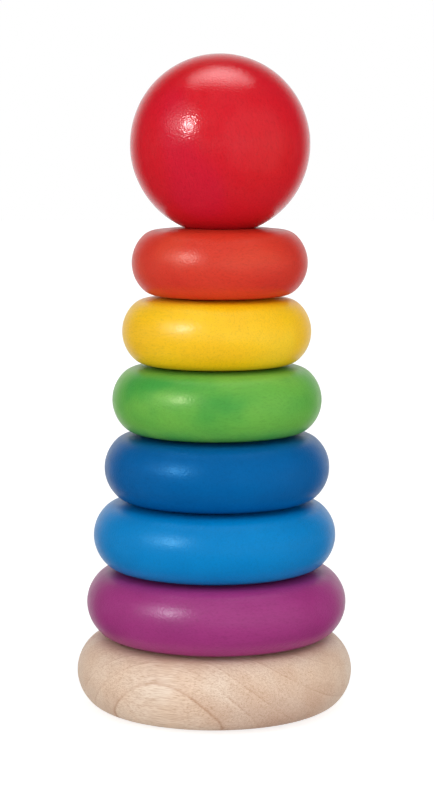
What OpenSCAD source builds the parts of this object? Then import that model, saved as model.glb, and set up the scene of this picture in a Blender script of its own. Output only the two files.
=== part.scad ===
// Stacking ring toy: a turned wooden base with a post, six rings that drop over the post,
// and a ball that caps it. Millimetres, +Z up, origin at the middle of the base's underside.

/* [Base] */
// Diameter of the base
base_d = 101.5; // [98:0.5:120]
// Thickness of the base
base_h = 26; // [22:1:32]

/* [Rings] */
// Thickness of every ring
ring_h = 25; // [20:1:30]
// Diameter of the hole through every ring and into the ball
bore_d = 20; // [18:0.5:21]
// Rounding of the edges of the hole through every ring
bore_edge_r = 2; // [0.5:0.5:4]
// Diameter of the lowest ring, the purple one
purple_d = 95.5; // [90:0.5:98]
// Diameter of the light blue ring
light_blue_d = 89; // [84:0.5:92]
// Diameter of the dark blue ring
dark_blue_d = 82.5; // [78:0.5:86]
// Diameter of the green ring
green_d = 76.5; // [72:0.5:80]
// Diameter of the yellow ring
yellow_d = 69; // [66:0.5:74]
// Diameter of the highest ring, the orange one
orange_d = 64; // [60:0.5:68]

/* [Ball] */
// Diameter of the ball
ball_d = 65; // [58:0.5:72]
// Diameter of the flat that the ball stands on
ball_flat_d = 25; // [24:0.5:28]
// Depth of the blind hole in the ball, from its flat
ball_bore_depth = 30; // [24:1:36]

/* [Post] */
// Diameter of the post
post_d = 15; // [12:0.5:16]
// How deep the post is glued into the base
post_socket = 18; // [12:1:20]
// Gap between the top of the post and the end of the hole in the ball
post_gap = 5; // [3:0.5:8]

/* [How the pieces sit] */
// How far each piece sits off the post's axis, as a share of the play in its hole
purple_sit = 0.3; // [0:0.05:0.9]
light_blue_sit = 0.05; // [0:0.05:0.9]
dark_blue_sit = 0.4; // [0:0.05:0.9]
green_sit = 0.4; // [0:0.05:0.9]
yellow_sit = 0.35; // [0:0.05:0.9]
orange_sit = 0.8; // [0:0.05:0.9]
ball_sit = 0.85; // [0:0.05:0.9]

/* [Hidden] */
$fn = 128;

// A rim is three tangent arcs: one round the side, and one over each shoulder. A shoulder's
// centre lies rim_run further out than the side's centre, and rim_rise above or below it.
// A slight taper leads from each shoulder to the flat top or bottom.
rim_run = 4;
rim_rise = 4;
rim_angle = atan2(rim_rise, rim_run);
taper_w = 6;
taper_angle = 6;
taper_drop = taper_w * tan(taper_angle);
function shoulder_r(h) = (h / 2 - taper_drop - rim_rise) / cos(taper_angle);
function side_r(h) = shoulder_r(h) + norm([rim_run, rim_rise]);

// Radius of the middle of a shoulder's arc, of the end of the taper and of the end of the flat.
function shoulder_x(d, h) = d / 2 - side_r(h) + rim_run;
function taper_x(d, h) = shoulder_x(d, h) + shoulder_r(h) * sin(taper_angle);
function flat_x(d, h) = taper_x(d, h) - taper_w;

ring_count = 6;
bore_r = bore_d / 2;
ball_mouth_chamfer = 1;
post_r = post_d / 2;
post_foot_chamfer = 1;
socket_chamfer = 0.6;

play = bore_r - post_r;
stack_top = base_h + ring_count * ring_h;
post_foot = base_h - post_socket;
post_top = stack_top + ball_bore_depth - post_gap;
ball_centre = stack_top + sqrt(pow(ball_d / 2, 2) - pow(ball_flat_d / 2, 2));

// A slice of a disc between two angles that are less than 120 degrees apart.
module sector(r, from, to) {
    reach = 2 * r;
    intersection() {
        circle(r);
        polygon([[0, 0], reach * [cos(from), sin(from)], reach * [cos(to), sin(to)]]);
    }
}

// Section of a turned disc from a radius out to its rim, centred on z = 0.
module disc_section(inner, d, h) {
    lower = [[inner, -h / 2], [flat_x(d, h), -h / 2], [taper_x(d, h), taper_drop - h / 2]];
    upper = [for (i = [2:-1:0]) [lower[i].x, -lower[i].y]];
    polygon(concat(lower, upper));
    translate([d / 2 - side_r(h), 0]) sector(side_r(h), -rim_angle, rim_angle);
    for (side = [-1, 1])
        translate([shoulder_x(d, h), side * rim_rise]) circle(shoulder_r(h));
}

// Section of the wall of a ring's hole, with rounded edges, centred on z = 0.
module bore_section() {
    straight = ring_h - 2 * bore_edge_r;
    translate([bore_r, -straight / 2]) square([bore_edge_r, straight]);
    translate([bore_r + bore_edge_r, straight / 2]) sector(bore_edge_r, 90, 180);
    translate([bore_r + bore_edge_r, -straight / 2]) sector(bore_edge_r, 180, 270);
}

// A ring that lies on so many others, sitting off the post's axis by a share of the play.
module ring(d, below, sit) {
    translate([sit * play, 0, base_h + (below + 0.5) * ring_h])
        rotate_extrude() {
            disc_section(bore_r + bore_edge_r, d, ring_h);
            bore_section();
        }
}

module base() {
    color("#dcc0a8")
        difference() {
            rotate_extrude() translate([0, base_h / 2]) disc_section(0, base_d, base_h);
            post_hole();
        }
}

// Blind hole with a chamfered mouth, for the post's foot.
module post_hole() {
    rotate_extrude()
        polygon([
            [0, post_foot], [post_r, post_foot], [post_r, base_h - socket_chamfer],
            [post_r + 2 * socket_chamfer, base_h + socket_chamfer], [0, base_h + socket_chamfer]
        ]);
}

// A dowel with a chamfered foot and a domed top.
module post() {
    color("#e0c7ae")
        rotate_extrude() {
            polygon([
                [0, post_foot], [post_r - post_foot_chamfer, post_foot],
                [post_r, post_foot + post_foot_chamfer],
                [post_r, post_top - post_r], [0, post_top - post_r]
            ]);
            translate([0, post_top - post_r]) sector(post_r, 0, 90);
        }
}

module purple_ring() {
    color("#9d337a") ring(purple_d, 0, purple_sit);
}

module light_blue_ring() {
    color("#007ec5") ring(light_blue_d, 1, light_blue_sit);
}

module dark_blue_ring() {
    color("#005e9f") ring(dark_blue_d, 2, dark_blue_sit);
}

module green_ring() {
    color("#5aa947") ring(green_d, 3, green_sit);
}

module yellow_ring() {
    color("#fbc612") ring(yellow_d, 4, yellow_sit);
}

module orange_ring() {
    color("#d63a2c") ring(orange_d, 5, orange_sit);
}

module red_ball() {
    color("#ce232b")
        translate([ball_sit * play, 0, 0])
            difference() {
                translate([0, 0, ball_centre]) sphere(d = ball_d);
                translate([-ball_d / 2, -ball_d / 2, stack_top - ball_d]) cube(ball_d);
                translate([0, 0, stack_top]) ball_bore();
            }
}

// Blind hole with a chamfered mouth, opening at z = 0.
module ball_bore() {
    rotate_extrude()
        polygon([
            [0, -1], [bore_r + ball_mouth_chamfer + 1, -1], [bore_r, ball_mouth_chamfer],
            [bore_r, ball_bore_depth], [0, ball_bore_depth]
        ]);
}

base();
post();
purple_ring();
light_blue_ring();
dark_blue_ring();
green_ring();
yellow_ring();
orange_ring();
red_ball();
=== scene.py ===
import math
from collections import namedtuple

import bpy
from mathutils import Euler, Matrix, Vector, noise


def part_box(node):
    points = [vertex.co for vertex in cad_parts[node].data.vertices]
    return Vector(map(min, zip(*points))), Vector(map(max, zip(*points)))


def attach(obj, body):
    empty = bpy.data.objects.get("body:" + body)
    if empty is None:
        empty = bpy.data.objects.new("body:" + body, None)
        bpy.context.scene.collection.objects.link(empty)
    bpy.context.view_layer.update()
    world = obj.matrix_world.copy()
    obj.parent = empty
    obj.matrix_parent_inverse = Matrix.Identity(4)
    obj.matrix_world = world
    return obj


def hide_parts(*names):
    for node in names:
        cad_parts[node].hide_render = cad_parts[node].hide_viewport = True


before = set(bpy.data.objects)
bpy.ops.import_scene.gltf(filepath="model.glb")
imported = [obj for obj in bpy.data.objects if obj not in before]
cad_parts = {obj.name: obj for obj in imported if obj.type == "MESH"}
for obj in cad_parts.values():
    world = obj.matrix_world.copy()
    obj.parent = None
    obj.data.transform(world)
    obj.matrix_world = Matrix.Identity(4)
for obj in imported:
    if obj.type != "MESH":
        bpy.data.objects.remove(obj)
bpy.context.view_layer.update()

# ---------------------------------------------------------------- measures and looks


# Turned meshes: faces round a piece, the spacing of a section's points along its arcs, straight
# stretches and the post, the radius that counts as on the axis, and the angle that makes an edge sharp.
COLUMNS = 360
ARC_STEP = 0.0006
LINE_STEP = 0.002
POST_STEP = 0.004
ON_AXIS = 1e-6
SHARP_ANGLE = 30

# Lathe work, in metres and degrees. The outer sizes come from the CAD boxes, and these are the details
# inside them.
RIM_RUN = 0.004
RIM_RISE = 0.004
TAPER_WIDTH = 0.006
TAPER_ANGLE = 6
TAPER_EASE = 0.02
BORE_RADIUS = 0.010
BORE_EDGE = 0.002
BALL_BORE_DEPTH = 0.030
BALL_MOUTH_CHAMFER = 0.001
FOOT_CHAMFER = 0.001
SOCKET_CHAMFER = 0.0006

# How far hand sanding leaves a turned surface from true: a size of wave, and its height. On the ball
# it dies away towards the flat, over one in BALL_SKIN_PARTS of the skin's points.
SANDING = ((0.016, 0.00008), (0.006, 0.00002))
BALL_SKIN_PARTS = 12


def srgb(text):
    """The linear colour, with alpha, of a web colour such as #ff8800."""
    values = [int(text[i:i + 2], 16) / 255 for i in (1, 3, 5)]
    return [v / 12.92 if v <= 0.04045 else ((v + 0.055) / 1.055) ** 2.4 for v in values] + [1.0]


def grey(value):
    return (value, value, value, 1.0)


# How the wood lies in each piece: a point of its pith line, and its fibres' turn from X in degrees.
GRAINS = {
    "base": ((0.0037, 0.0093, 0.075), (0, 0, -21.7)),
    "post": ((0.072, 0.01, 0.0), (0, 90, 0)),
    "purple_ring": ((0.02, 0.05, 0.10), (0, 0, 12)),
    "light_blue_ring": ((0.04, -0.02, 0.02), (0, 0, 70)),
    "dark_blue_ring": ((-0.02, 0.06, 0.06), (0, 0, -35)),
    "green_ring": ((0.01, 0.03, 0.16), (0, 0, 15)),
    "yellow_ring": ((0.0, 0.05, 0.10), (0, 0, -50)),
    "orange_ring": ((0.03, 0.04, 0.12), (0, 0, 30)),
    "red_ball": ((0.06, 0.02, 0.19), (0, 80, 0)),
}

# The bare wood's growth rings: the width of a year and of its line, then how far from the pith each
# year ends, and how strongly its line shows.
YEAR = 0.0055
YEAR_LINE = 0.00032
YEARS = (
    (0.0577, 0.25), (0.0632, 0.15), (0.0687, 0.4), (0.0742, 0.15),
    (0.0797, 0.35), (0.0852, 0.35), (0.0907, 0.75),
)
EARLY_WOOD = srgb("#f3dfcb")
LATE_WOOD = srgb("#c08c66")

# Where a year darkens, before the middle of its line: first in shares of a year, then in widths of the
# line. Each comes with the share of late wood, or of the line, that shows there.
LATE_START = 0.7
LATE_START_SHADE = 0.1
LINE_START = 2.0
LINE_START_SHADE = 0.35

# How far the growth rings sway from true circles, and the size of the sway. Then the size of the
# patches that they show more or less in, the noise levels where they show least and most, and the
# least. ALONG scales the coordinate along the fibres: at 0.5 a pattern is twice as long that way.
SWAY = 0.0012
SWAY_SIZE = 0.02
SWAY_ALONG = 0.4
FADE_SIZE = 0.009
FADE_ALONG = 0.5
FADE_LEVELS = (0.35, 0.6)
FADE_LEAST = 0.3

# Where the base's growth rings bulge away from the pith: how far, how wide and round which point. Then
# a patch that darkens the base towards its bottom at the front right, as a middle and half sizes, the
# colour that it multiplies the wood by, and how ragged its edge is.
BULGE_HEIGHT = 0.0274
BULGE_REACH = 0.0657
BULGE_MIDDLE = (-0.0202, -0.0457, 0.0477)
DARKER_LOW_RIGHT = (((0.024, -0.040, 0.001), (0.048, 0.034, 0.024)),)
DARKER_LOW_RIGHT_SHADE = srgb("#e4d8d6")
DARKER_LOW_RIGHT_EDGE = 0.3

# Soft clouds in the bare wood's colour: their size, shade and share.
CLOUD_SIZE = 0.014
CLOUD_SHADE = srgb("#f8ede4")
CLOUD_SHARE = 0.8

# Streaks along the fibres: their width and length, the noise's detail, the shade that they multiply
# the wood by, the noise levels where they are full and where they end, and their share. The pores of
# the bare wood are hollows too, with their floor and rim at two more levels.
Streaks = namedtuple("Streaks", "width length detail shade full end share")
BARE_FIBRES = Streaks(0.0006, 0.009, 2.0, srgb("#f1eae3"), 0.38, 0.56, 0.75)
BARE_PORES = Streaks(0.00024, 0.0052, 1.0, srgb("#cfae92"), 0.34, 0.5, 0.48)
STAINED_FIBRES = Streaks(0.0009, 0.012, 2.0, grey(0.9), 0.35, 0.62, 0.5)
STAINED_PORES = Streaks(0.0005, 0.0014, 1.0, grey(0.75), 0.3, 0.5, 0.45)
STREAK_ROUGHNESS = 0.6
PORE_LEVELS = (0.28, 0.46)
PORE_DEPTH = 0.00005
PORE_STRENGTH = 0.5

# The thin satin lacquer: the size of the patches that its roughness varies in, its least and most
# roughness, and how strongly it mirrors.
BARE_PATCH = 0.003
BARE_ROUGHNESS = (0.42, 0.55)
BARE_SPECULAR = 0.35

# The semi-gloss lacquer: the same patches, how far its roughness strays from a stain's own, its
# refraction, and the size, depth and strength of its orange peel.
STAINED_PATCH = 0.004
GLOSS_SPREAD = 0.03
LACQUER_IOR = 1.4
PEEL_SIZE = 0.0006
PEEL_DEPTH = PEEL_SIZE / 9
PEEL_STRENGTH = 1.0

# A stain: its colour, its deeper and paler shades, their share in the colour, the colour of what the
# lacquer over it mirrors, the size of the shades' pattern, and the lacquer's mean roughness.
Stain = namedtuple("Stain", "colour deep pale figure sheen size gloss", defaults=(0.016, 0.34))
FIGURE_ALONG = 0.35
RING_STAINS = {
    "purple_ring": Stain("#a4337d", "#8e2c6e", "#b0448c", 0.25, "#f0f5ff"),
    "light_blue_ring": Stain("#0083ca", "#0076bc", "#048fd6", 0.2, "#90daff"),
    "dark_blue_ring": Stain("#005fa3", "#005695", "#0069af", 0.25, "#68c4ff"),
    "green_ring": Stain("#6cb748", "#42a343", "#88c450", 0.35, "#ffffd0"),
    "yellow_ring": Stain("#ffcb10", "#fabd09", "#ffd82e", 0.4, "#ffffff"),
    "orange_ring": Stain("#db3826", "#cc241e", "#e04c30", 0.35, "#ffeee2"),
}
BALL_STAIN = Stain("#d61c29", "#d21a37", "#da2020", 0.6, "#fff4f5", size=0.03, gloss=0.19)

# Where the green ring is darker, as middles and half sizes: pools where the stain sank in deeper, and
# last a band all round its bottom, which is deeper stain and painted shade in one. Then how ragged the
# edges of such pools are, the size of that, and the levels where a pool starts and is full.
GREEN_POOLS_AND_SHADE = (
    ((-0.0286, -0.024, 0.121), (0.012, 0.016, 0.008)),
    ((-0.016, -0.030, 0.1225), (0.016, 0.014, 0.004)),
    ((0.001, -0.0345, 0.116), (0.018, 0.012, 0.009)),
    ((0.030, 0.024, 0.112), (0.018, 0.016, 0.009)),
    ((-0.018, 0.034, 0.116), (0.014, 0.012, 0.008)),
    # The last: a band all round the ring's bottom, deeper stain and painted shade in one.
    ((0.001, 0.0, 0.101), (0.075, 0.075, 0.006)),
)
POOL_EDGE = 1.0
EDGE_SIZE = 0.008
POOL_LEVELS = (-0.1, 1.1)

# The table top's half size, its own grey, and how brightly it glows, to the toy and to the camera.
FLOOR_HALF = 4.0
FLOOR_GREY = 0.5
FLOOR_GLOW = 0.30
FLOOR_GLOW_SEEN = 0.75

# The lamps: the point that each aims at, by its name in make_lights, its direction and distance from
# there, its size, radiance and shape, and whether it lights the toy or only shows in the lacquer.
Lamp = namedtuple("Lamp", "aim direction distance size radiance shape lights", defaults=("ELLIPSE", False))
LAMPS = {
    "umbrella": Lamp("ball", (-0.72, -0.51, 0.47), 2.8, (2.5, 2.0), 0.87, lights=True),
    "umbrella lamp": Lamp("ball", (-0.63, -0.68, 0.40), 2.7, (0.32, 0.80), 60.0),
    "umbrella skin": Lamp("ball", (-0.78, -0.54, 0.38), 2.8, (1.7, 0.9), 2.6),
    "overhead softbox": Lamp("ball", (0.0, 0.12, 1.0), 2.0, (2.1, 1.2), 4.0),
    "overhead lamp": Lamp("ball", (0.0, 0.12, 1.0), 1.9, (1.0, 0.7), 2.8),
    "right panel": Lamp("middle", (0.75, -0.70, 0.12), 2.6, (4.0, 3.6), 0.38, "RECTANGLE"),
}

# The light from all round: its even level, a broad soft lobe from the upper front, and a brighter band
# along the horizon, in front and behind, which ends at a sine of its elevation.
FILL = 0.37
LOBE = 1.05
LOBE_AIM = (0.18, -0.68, 0.71)
LOBE_POWER = 3.0
HORIZON_FRONT = 2.6
HORIZON_BACK = 0.9
HORIZON_END = 0.22

# What the lacquer mirrors is black in front of the toy and white behind it. These are how far back a
# direction points, from 0 at the sides to 1 straight behind, where the black ends and the white starts.
MIRROR_BLACK = 0.56
MIRROR_WHITE = 0.97

CAMERA_PLACE = (0.0032, -0.7974, 0.2139)
CAMERA_AIM = (0.001, 0.0, 0.1131)
CAMERA_LENS = 98.8


# ---------------------------------------------------------------- shapes


def arc(centre, radius, start, end, free=0.0):
    """Points of a section along an arc, as (radius, height, outward normal, freedom to stray)."""
    steps = max(4, round(abs(math.radians(end - start)) * radius / ARC_STEP))
    points = []
    for i in range(steps + 1):
        angle = math.radians(start + (end - start) * i / steps)
        normal = (math.cos(angle), math.sin(angle))
        slack = free * max(0.0, normal[0])
        points.append((centre[0] + radius * normal[0], centre[1] + radius * normal[1], normal, slack))
    return points


def point(radius, height):
    """A point of a section that stays true."""
    return (radius, height, (0, 0), 0.0)


def line(start, end, step=LINE_STEP):
    """Points of a section along a straight stretch, without its ends."""
    run = end[0] - start[0]
    rise = end[1] - start[1]
    steps = max(1, round(math.dist(start[:2], end[:2]) / step))
    return [point(start[0] + run * i / steps, start[1] + rise * i / steps) for i in range(1, steps)]


def corner(radius, height):
    """A stretch of a section that is one sharp corner."""
    return [point(radius, height)]


def rim(radius, low, high):
    """A turned disc's rim, upwards: a taper, a shoulder, a flatter side, a shoulder and a taper."""
    half = (high - low) / 2
    middle = (high + low) / 2
    tilt = math.radians(TAPER_ANGLE)
    steep = 90 - TAPER_ANGLE
    shoulder = (half - TAPER_WIDTH * math.tan(tilt) - RIM_RISE) / math.cos(tilt)
    side = shoulder + math.hypot(RIM_RUN, RIM_RISE)
    turn = math.degrees(math.atan2(RIM_RISE, RIM_RUN))
    centre = radius - side + RIM_RUN
    flat_end = centre + shoulder * math.sin(tilt) - TAPER_WIDTH
    eased = flat_end - TAPER_EASE * math.tan(tilt / 2)
    bottom = arc((eased, low + TAPER_EASE), TAPER_EASE, -90, -steep)
    lower = arc((centre, middle - RIM_RISE), shoulder, -steep, -turn, 1.0)
    upper = arc((centre, middle + RIM_RISE), shoulder, turn, steep, 1.0)
    top = arc((eased, high - TAPER_EASE), TAPER_EASE, steep, 90)
    return (
        bottom + line(bottom[-1], lower[0]) + lower[:-1]
        + arc((radius - side, middle), side, -turn, turn, 1.0)
        + upper[1:] + line(upper[-1], top[0]) + top
    )


def ring_section(radius, low, high):
    """A ring's closed section, from the underside out, up the rim and back down the bore."""
    outer = rim(radius, low, high)
    inner = BORE_RADIUS + BORE_EDGE
    top_edge = arc((inner, high - BORE_EDGE), BORE_EDGE, 90, 180)
    bottom_edge = arc((inner, low + BORE_EDGE), BORE_EDGE, 180, 270)
    return (
        outer + line(outer[-1], top_edge[0]) + top_edge
        + line(top_edge[-1], bottom_edge[0]) + bottom_edge
        + line(bottom_edge[-1], outer[0])
    )


def base_section(radius, low, high, post_radius, socket_floor):
    """The base's section, from the middle of its underside round to the middle of its socket."""
    outer = rim(radius, low, high)
    mouth = corner(post_radius + SOCKET_CHAMFER, high) + corner(post_radius, high - SOCKET_CHAMFER)
    start = corner(0, low)
    floor = corner(post_radius, socket_floor)
    end = corner(0, socket_floor)
    return (
        start + line(start[0], outer[0]) + outer + line(outer[-1], mouth[0]) + mouth
        + line(mouth[-1], floor[0]) + floor + line(floor[0], end[0]) + end
    )


def post_section(radius, low, high):
    """A dowel with a chamfered foot and a domed top."""
    foot = corner(radius - FOOT_CHAMFER, low) + corner(radius, low + FOOT_CHAMFER)
    dome = arc((0, high - radius), radius, 0, 90)
    start = corner(0, low)
    return start + line(start[0], foot[0]) + foot + line(foot[-1], dome[0], POST_STEP) + dome


def ball_section(radius, low, high):
    """A ball cut flat at the bottom, with a blind bore, from the bore's end round to the ball's top."""
    centre = high - radius
    flat = math.acos((centre - low) / radius)
    skin = arc((0, centre), radius, math.degrees(flat) - 90, 90, 1.0)
    end = corner(0, low + BALL_BORE_DEPTH)
    bore = corner(BORE_RADIUS, low + BALL_BORE_DEPTH)
    mouth = corner(BORE_RADIUS, low + BALL_MOUTH_CHAMFER) + corner(BORE_RADIUS + BALL_MOUTH_CHAMFER, low)
    # The sanded skin meets the flat without a step.
    first = len(skin) // BALL_SKIN_PARTS
    eased = [(r, z, normal, slack * min(1.0, i / first)) for i, (r, z, normal, slack) in enumerate(skin)]
    return (
        end + line(end[0], bore[0]) + bore + line(bore[0], mouth[0]) + mouth
        + line(mouth[-1], eased[0]) + eased
    )


def sanded(place):
    """How far the sanded skin lies outside the true turned one at a place."""
    return sum(height * noise.noise(place / size) for size, height in SANDING)


def turned(section_point, axis):
    """The vertices of a section's point all round an axis through (x, y)."""
    radius, height, normal, slack = section_point
    verts = []
    for i in range(COLUMNS):
        angle = math.tau * i / COLUMNS
        spoke = (math.cos(angle), math.sin(angle))
        off = 0.0
        if slack:
            off = slack * sanded(Vector((axis[0] + radius * spoke[0], axis[1] + radius * spoke[1], height)))
        reach = radius + off * normal[0]
        verts.append((axis[0] + reach * spoke[0], axis[1] + reach * spoke[1], height + off * normal[1]))
    return verts


def skin_faces(rows, closed):
    """The faces between rows of vertex numbers, and from the last to the first if the section is closed."""
    faces = []
    last = len(rows) if closed else len(rows) - 1
    for i in range(last):
        low, high = rows[i], rows[(i + 1) % len(rows)]
        for j in range(COLUMNS):
            k = (j + 1) % COLUMNS
            corners = [low[j], low[k], high[k], high[j]]
            faces.append(list(dict.fromkeys(corners)))
    return faces


def lathe(name, section, axis, closed=False):
    """Turns a section round an axis through (x, y) into a mesh, sanded where it is free to stray."""
    verts = []
    rows = []
    for section_point in section:
        radius, height = section_point[:2]
        if radius < ON_AXIS:
            rows.append([len(verts)] * COLUMNS)
            verts.append((axis[0], axis[1], height))
        else:
            rows.append(list(range(len(verts), len(verts) + COLUMNS)))
            verts += turned(section_point, axis)
    mesh = bpy.data.meshes.new(name)
    mesh.from_pydata(verts, [], skin_faces(rows, closed))
    mesh.validate()
    piece = bpy.data.objects.new(name, mesh)
    bpy.context.scene.collection.objects.link(piece)
    mesh.polygons.foreach_set("use_smooth", [True] * len(mesh.polygons))
    mesh.set_sharp_from_angle(angle=math.radians(SHARP_ANGLE))
    return piece


def measure(cad_node):
    """A turned node's axis, radius, low end and high end, from its CAD box."""
    low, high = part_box(cad_node)
    axis = ((low.x + high.x) / 2, (low.y + high.y) / 2)
    return axis, (high.y - low.y) / 2, low.z, high.z


# ---------------------------------------------------------------- shader nodes


def node(tree, kind, inputs=None, **settings):
    """Adds a node. inputs maps a socket's name or number to a value, or to the output that feeds it."""
    made = tree.nodes.new("ShaderNode" + kind)
    for name, value in settings.items():
        setattr(made, name, value)
    for name, value in (inputs or {}).items():
        if isinstance(value, bpy.types.NodeSocket):
            tree.links.new(value, made.inputs[name])
        else:
            made.inputs[name].default_value = value
    return made


def ramp(tree, factor, stops, interpolation="LINEAR"):
    """A colour ramp's output. stops are (position, colour) from low to high."""
    made = node(tree, "ValToRGB", {"Fac": factor})
    made.color_ramp.interpolation = interpolation
    elements = made.color_ramp.elements
    while len(elements) < len(stops):
        elements.new(0.5)
    for element, (position, colour) in zip(elements, stops):
        element.position = position
        element.color = colour
    return made.outputs["Color"]


def mix(tree, factor, first, second, blend_type="MIX"):
    made = node(tree, "Mix", data_type="RGBA", blend_type=blend_type)
    for name, value in (("Factor", factor), ("A", first), ("B", second)):
        socket = next(s for s in made.inputs if s.name == name and s.enabled)
        if isinstance(value, bpy.types.NodeSocket):
            tree.links.new(value, socket)
        else:
            socket.default_value = value
    return next(s for s in made.outputs if s.enabled)


def maths(tree, operation, *values):
    return node(tree, "Math", dict(enumerate(values)), operation=operation).outputs[0]


def map_range(tree, value, limits, kind="LINEAR"):
    """A value moved from one range to another. limits are those that differ from 0 and 1."""
    return node(tree, "MapRange", {"Value": value, **limits}, interpolation_type=kind).outputs["Result"]


def bump(tree, height, strength, distance):
    return node(
        tree, "Bump", {"Height": height, "Strength": strength, "Distance": distance}
    ).outputs["Normal"]


def new_tree(name):
    material = bpy.data.materials.new(name)
    material.use_nodes = True
    material.node_tree.nodes.clear()
    return material, material.node_tree


def timber(tree, cad_node):
    """Coordinates in metres from a piece's pith line, with x along its fibres."""
    pith, degrees = GRAINS[cad_node]
    turn = Euler([math.radians(angle) for angle in degrees])
    place = node(tree, "TexCoord").outputs["Object"]
    return node(
        tree, "Mapping", {"Vector": place, "Location": pith, "Rotation": turn}, vector_type="TEXTURE"
    ).outputs["Vector"]


def stretched(tree, space, along):
    """Coordinates with the fibres' direction shortened, so that a pattern runs long that way."""
    return node(tree, "Mapping", {"Vector": space, "Scale": (along, 1, 1)}).outputs["Vector"]


def blotches(tree, space, size, detail=1.0):
    return node(tree, "TexNoise", {"Vector": space, "Scale": 1 / size, "Detail": detail}).outputs["Fac"]


def spot(tree, middle, sizes, kind="SPHERICAL"):
    """A soft spot, from 1 at its middle to 0 at its half sizes."""
    place = node(tree, "TexCoord").outputs["Object"]
    local = node(
        tree, "Mapping", {"Vector": place, "Location": middle, "Scale": sizes}, vector_type="TEXTURE"
    ).outputs["Vector"]
    return node(tree, "TexGradient", {"Vector": local}, gradient_type=kind).outputs["Fac"]


def streaked(tree, space, tone, streaks):
    """A tone with streaks along the fibres multiplied into it, and the noise that places them."""
    drawn_out = stretched(tree, space, streaks.width / streaks.length)
    level = node(
        tree, "TexNoise",
        {
            "Vector": drawn_out, "Scale": 1 / streaks.width,
            "Detail": streaks.detail, "Roughness": STREAK_ROUGHNESS,
        },
    ).outputs["Fac"]
    mark = ramp(tree, level, [(streaks.full, streaks.shade), (streaks.end, grey(1.0))])
    return mix(tree, streaks.share, tone, mark, "MULTIPLY"), level


# ---------------------------------------------------------------- materials


def blend(first, second, share):
    """A colour on the way from the first to the second."""
    return [a + (b - a) * share for a, b in zip(first, second)]


def year_stops(first, last):
    """The growth rings as a ramp's stops, over distances from the pith between first and last."""
    stops = [(0.0, EARLY_WOOD)]
    for end, strength in YEARS:
        late = blend(EARLY_WOOD, LATE_WOOD, strength)
        marks = (
            (end - YEAR * LATE_START, blend(EARLY_WOOD, LATE_WOOD, LATE_START_SHADE)),
            (end - LINE_START * YEAR_LINE, blend(EARLY_WOOD, late, LINE_START_SHADE)),
            (end - 0.5 * YEAR_LINE, late),
            (end + 0.5 * YEAR_LINE, EARLY_WOOD),
        )
        stops += [((distance - first) / (last - first), colour) for distance, colour in marks]
    return stops


def growth(tree, space, bulging):
    """The wood's colour by its growth rings: each year darkens outwards to its own thin line."""
    from_pith = node(tree, "VectorMath", {0: stretched(tree, space, 0.0)}, operation="LENGTH")
    sway = maths(tree, "SUBTRACT", blotches(tree, stretched(tree, space, SWAY_ALONG), SWAY_SIZE), 0.5)
    distance = maths(tree, "MULTIPLY_ADD", sway, SWAY, from_pith.outputs["Value"])
    if bulging:
        bulge = spot(tree, BULGE_MIDDLE, (BULGE_REACH,) * 3, "QUADRATIC_SPHERE")
        distance = maths(tree, "MULTIPLY_ADD", bulge, BULGE_HEIGHT, distance)
    first, last = YEARS[0][0] - YEAR, YEARS[-1][0] + YEAR
    share = map_range(tree, distance, {"From Min": first, "From Max": last})
    patches = blotches(tree, stretched(tree, space, FADE_ALONG), FADE_SIZE)
    faint, full = FADE_LEVELS
    shown = map_range(tree, patches, {"From Min": faint, "From Max": full, "To Min": FADE_LEAST})
    return mix(tree, shown, EARLY_WOOD, ramp(tree, share, year_stops(first, last)))


def darker_pools(tree, space, pools, ragged):
    """Where the wood is darker: soft-edged pools, each a middle and its half sizes, with ragged edges."""
    edge = maths(tree, "SUBTRACT", blotches(tree, space, EDGE_SIZE), 0.5)
    share = maths(tree, "MULTIPLY", edge, ragged)
    for middle, sizes in pools:
        share = maths(tree, "ADD", share, spot(tree, middle, sizes))
    start, full = POOL_LEVELS
    return map_range(tree, share, {"From Min": start, "From Max": full}, "SMOOTHSTEP")


def finish_wood(tree, tone, rough, normal, lacquer):
    """Ends a wood's tree in its shader. lacquer maps the shader's other sockets to their values."""
    shader = node(
        tree, "BsdfPrincipled", {"Base Color": tone, "Roughness": rough, "Normal": normal, **lacquer}
    )
    node(tree, "OutputMaterial", {"Surface": shader.outputs["BSDF"]})


def bare_wood(name, cad_node, bulging=False, darker_low_right=()):
    """Pale, fine-pored hardwood under a thin satin lacquer."""
    material, tree = new_tree(name)
    space = timber(tree, cad_node)
    tone = growth(tree, space, bulging)
    cloud = ramp(tree, blotches(tree, space, CLOUD_SIZE, 2.0), [(0.35, CLOUD_SHADE), (0.7, grey(1.0))])
    tone = mix(tree, CLOUD_SHARE, tone, cloud, "MULTIPLY")
    # A patch that darkens the base towards its bottom at the front right.
    if darker_low_right:
        darkening = mix(tree, darker_pools(tree, space, darker_low_right, DARKER_LOW_RIGHT_EDGE), grey(1.0), DARKER_LOW_RIGHT_SHADE)
        tone = mix(tree, 1.0, tone, darkening, "MULTIPLY")
    tone, _ = streaked(tree, space, tone, BARE_FIBRES)
    tone, pores = streaked(tree, space, tone, BARE_PORES)
    least, most = BARE_ROUGHNESS
    rough = ramp(tree, blotches(tree, space, BARE_PATCH), [(0.3, grey(least)), (0.7, grey(most))])
    floor, edge = PORE_LEVELS
    height = ramp(tree, pores, [(floor, grey(0.0)), (edge, grey(1.0))])
    normal = bump(tree, height, PORE_STRENGTH, PORE_DEPTH)
    finish_wood(tree, tone, rough, normal, {"Specular IOR Level": BARE_SPECULAR})
    return material


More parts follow.
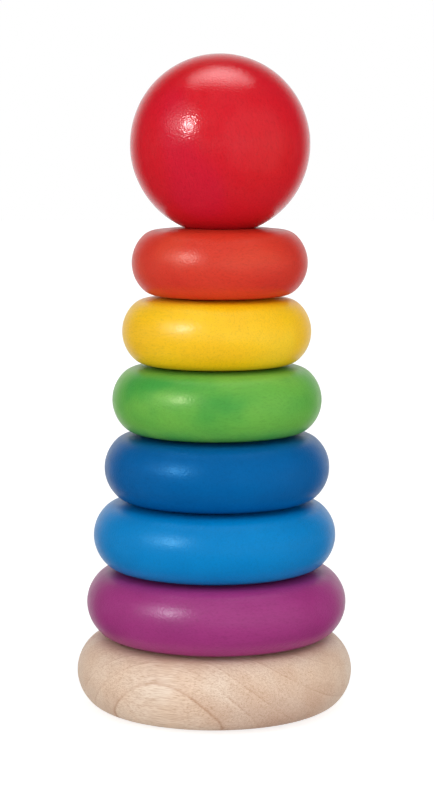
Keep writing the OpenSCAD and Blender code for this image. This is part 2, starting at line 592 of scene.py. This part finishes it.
def stained_wood(name, cad_node, stain, pools=()):
    """Wood stained a strong colour under semi-gloss lacquer. The stain takes more or less with the grain.

    pools are the places where the wood is darker: the stain sank in deeper, and on the green ring also a
    band of painted shade round its bottom.
    """
    material, tree = new_tree(name)
    space = timber(tree, cad_node)
    figured = blotches(tree, stretched(tree, space, FIGURE_ALONG), stain.size)
    shades = [(0.32, srgb(stain.deep)), (0.5, srgb(stain.colour)), (0.68, srgb(stain.pale))]
    tone = mix(tree, stain.figure, srgb(stain.colour), ramp(tree, figured, shades, "EASE"))
    if pools:
        tone = mix(tree, darker_pools(tree, space, pools, POOL_EDGE), tone, srgb(stain.deep))
    tone, _ = streaked(tree, space, tone, STAINED_FIBRES)
    tone, _ = streaked(tree, space, tone, STAINED_PORES)
    levels = [(0.3, grey(stain.gloss - GLOSS_SPREAD)), (0.7, grey(stain.gloss + GLOSS_SPREAD))]
    rough = ramp(tree, blotches(tree, space, STAINED_PATCH), levels)
    normal = bump(tree, blotches(tree, space, PEEL_SIZE, 0.0), PEEL_STRENGTH, PEEL_DEPTH)
    finish_wood(tree, tone, rough, normal, {"IOR": LACQUER_IOR, "Specular Tint": srgb(stain.sheen)})
    return material


# ---------------------------------------------------------------- the toy


def finish_piece(piece, cad_node, body, material):
    piece.data.materials.append(material)
    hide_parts(cad_node)
    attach(piece, body)


def make_base():
    axis, radius, low, high = measure("base")
    _, post_radius, post_low, _ = measure("post")
    piece = lathe("base_wood", base_section(radius, low, high, post_radius, post_low), axis)
    material = bare_wood("natural wood", "base", bulging=True, darker_low_right=DARKER_LOW_RIGHT)
    finish_piece(piece, "base", "stand", material)


def make_post():
    axis, radius, low, high = measure("post")
    piece = lathe("post_wood", post_section(radius, low, high), axis)
    finish_piece(piece, "post", "stand", bare_wood("post wood", "post"))


def make_rings():
    for ring, stain in RING_STAINS.items():
        axis, radius, low, high = measure(ring)
        piece = lathe(ring + "_wood", ring_section(radius, low, high), axis, closed=True)
        # The green ring's darker pools include a band of painted shade round its bottom.
        pools = GREEN_POOLS_AND_SHADE if ring == "green_ring" else ()
        material = stained_wood(ring + " stain", ring, stain, pools)
        finish_piece(piece, ring, ring, material)


def make_ball():
    axis, radius, low, high = measure("red_ball")
    piece = lathe("red_ball_wood", ball_section(radius, low, high), axis)
    material = stained_wood("red ball stain", "red_ball", BALL_STAIN)
    finish_piece(piece, "red_ball", "red_ball", material)


# ---------------------------------------------------------------- the studio


def make_floor():
    """A plain white table top, which doesn't show in the lacquer's reflections."""
    half = FLOOR_HALF
    corners = [(-half, -half, 0), (half, -half, 0), (half, half, 0), (-half, half, 0)]
    mesh = bpy.data.meshes.new("floor")
    mesh.from_pydata(corners, [], [(0, 1, 2, 3)])
    floor = bpy.data.objects.new("floor", mesh)
    bpy.context.scene.collection.objects.link(floor)
    material, tree = new_tree("white table")
    seen = node(tree, "LightPath").outputs["Is Camera Ray"]
    glow = map_range(tree, seen, {"To Min": FLOOR_GLOW, "To Max": FLOOR_GLOW_SEEN})
    shader = node(
        tree, "BsdfPrincipled",
        {
            "Base Color": grey(FLOOR_GREY), "Roughness": 0.9, "Specular IOR Level": 0.0,
            "Emission Color": grey(1.0), "Emission Strength": glow,
        },
    )
    node(tree, "OutputMaterial", {"Surface": shader.outputs["BSDF"]})
    mesh.materials.append(material)
    floor.visible_glossy = False


def soft_light(name, lamp, target):
    """An area light that faces the toy."""
    data = bpy.data.lights.new(name, "AREA")
    data.shape = lamp.shape
    data.size, data.size_y = lamp.size
    area = lamp.size[0] * lamp.size[1] * (math.pi / 4 if lamp.shape == "ELLIPSE" else 1.0)
    data.energy = lamp.radiance * math.pi * area
    light = bpy.data.objects.new(name, data)
    bpy.context.scene.collection.objects.link(light)
    away = Vector(lamp.direction).normalized()
    light.location = target + away * lamp.distance
    light.rotation_euler = away.to_track_quat("Z", "Y").to_euler()
    light.visible_camera = False
    light.visible_diffuse = lamp.lights


def make_lights():
    ball_low, ball_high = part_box("red_ball")
    ball = (ball_low + ball_high) / 2
    targets = {"ball": ball, "middle": Vector((0, 0, ball.z / 2))}
    for name, lamp in LAMPS.items():
        soft_light(name, lamp, targets[lamp.aim])


def light_all_round(tree, direction, axes):
    """How strongly the surroundings light the toy from each direction."""
    limits = {"From Max": HORIZON_END, "To Min": 1.0, "To Max": 0.0}
    band = map_range(tree, axes.outputs["Z"], limits, "SMOOTHSTEP")
    limits = {"From Min": -1.0, "To Min": HORIZON_FRONT, "To Max": HORIZON_BACK}
    strength = map_range(tree, axes.outputs["Y"], limits)
    towards = node(tree, "VectorMath", {0: direction, 1: LOBE_AIM}, operation="DOT_PRODUCT")
    facing = maths(tree, "MAXIMUM", towards.outputs["Value"], 0.0)
    lobe = maths(tree, "POWER", facing, LOBE_POWER)
    even = maths(tree, "MULTIPLY_ADD", lobe, LOBE, FILL)
    return maths(tree, "MULTIPLY_ADD", band, strength, even)


def make_world():
    """White to the camera. What the lacquer mirrors is white behind the toy and black in front."""
    world = bpy.data.worlds.new("studio")
    bpy.context.scene.world = world
    world.use_nodes = True
    tree = world.node_tree
    tree.nodes.clear()
    direction = node(tree, "TexCoord").outputs["Generated"]
    axes = node(tree, "SeparateXYZ", {"Vector": direction})
    limits = {"From Min": MIRROR_BLACK, "From Max": MIRROR_WHITE}
    mirrored = map_range(tree, axes.outputs["Y"], limits, "SMOOTHSTEP")
    fill = light_all_round(tree, direction, axes)
    path = node(tree, "LightPath")
    lit = mix(tree, path.outputs["Is Glossy Ray"], fill, mirrored)
    seen = mix(tree, path.outputs["Is Camera Ray"], lit, grey(1.0))
    sky = node(tree, "Background", {"Color": seen, "Strength": 1.0})
    node(tree, "OutputWorld", {"Surface": sky.outputs["Background"]})


def make_camera():
    data = bpy.data.cameras.new("camera")
    data.lens = CAMERA_LENS
    camera = bpy.data.objects.new("camera", data)
    bpy.context.scene.collection.objects.link(camera)
    camera.location = CAMERA_PLACE
    ahead = Vector(CAMERA_AIM) - camera.location
    camera.rotation_euler = ahead.to_track_quat("-Z", "Y").to_euler()
    bpy.context.scene.camera = camera


make_base()
make_post()
make_rings()
make_ball()
make_floor()
make_lights()
make_world()
make_camera()
bpy.context.scene.view_settings.view_transform = "Standard"
